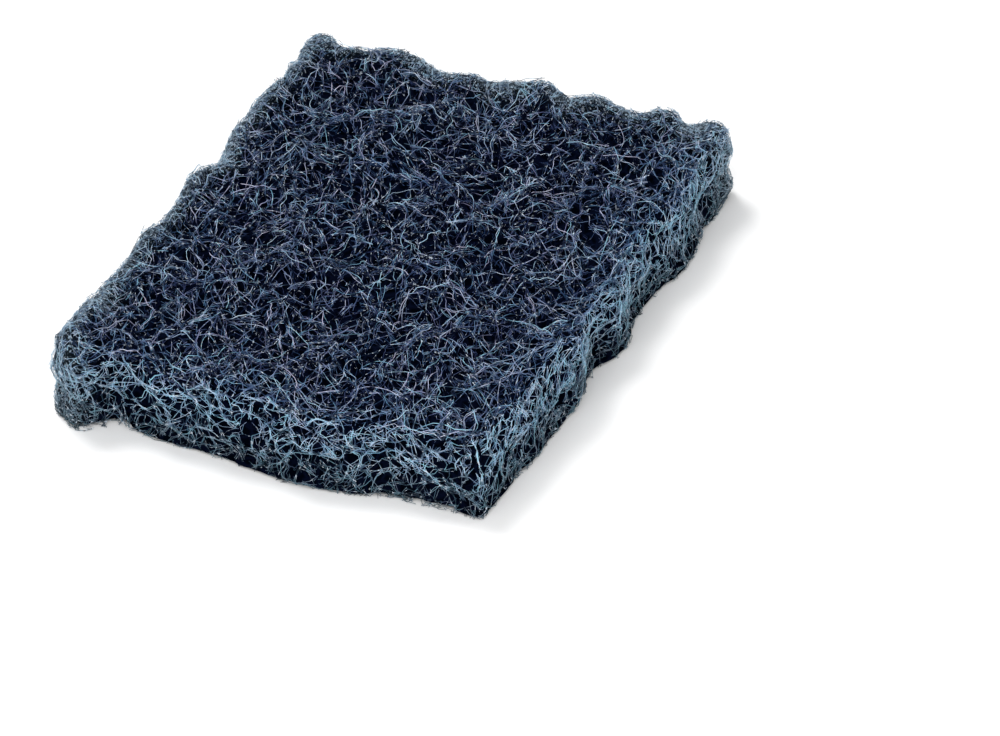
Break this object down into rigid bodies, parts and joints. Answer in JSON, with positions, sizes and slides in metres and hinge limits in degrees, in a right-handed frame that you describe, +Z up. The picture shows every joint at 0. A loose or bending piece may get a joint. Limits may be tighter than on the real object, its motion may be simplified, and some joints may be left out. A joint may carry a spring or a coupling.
{
  "type": "scouring pad",
  "caption": "Hand-size scouring pad: one thick, lofty slab of dark blue crimped nylon fibres bonded where they cross, with wavy cut edges and rolled rims.",
  "frame": {"origin": "centre of the flat underside, on the surface that the pad lies on", "axes": "+Z up through the thickness, +Y along the length, +X across the width; the front is -Y"},
  "size_m": [0.1068, 0.141, 0.0206],
  "materials": {
    "fibre_web": "open web of dark blue nylon fibres with a satin resin coat"
  },
  "bodies": {
    "root": {"scouring_pad": "fibre_web"}
  },
  "joints": []
}
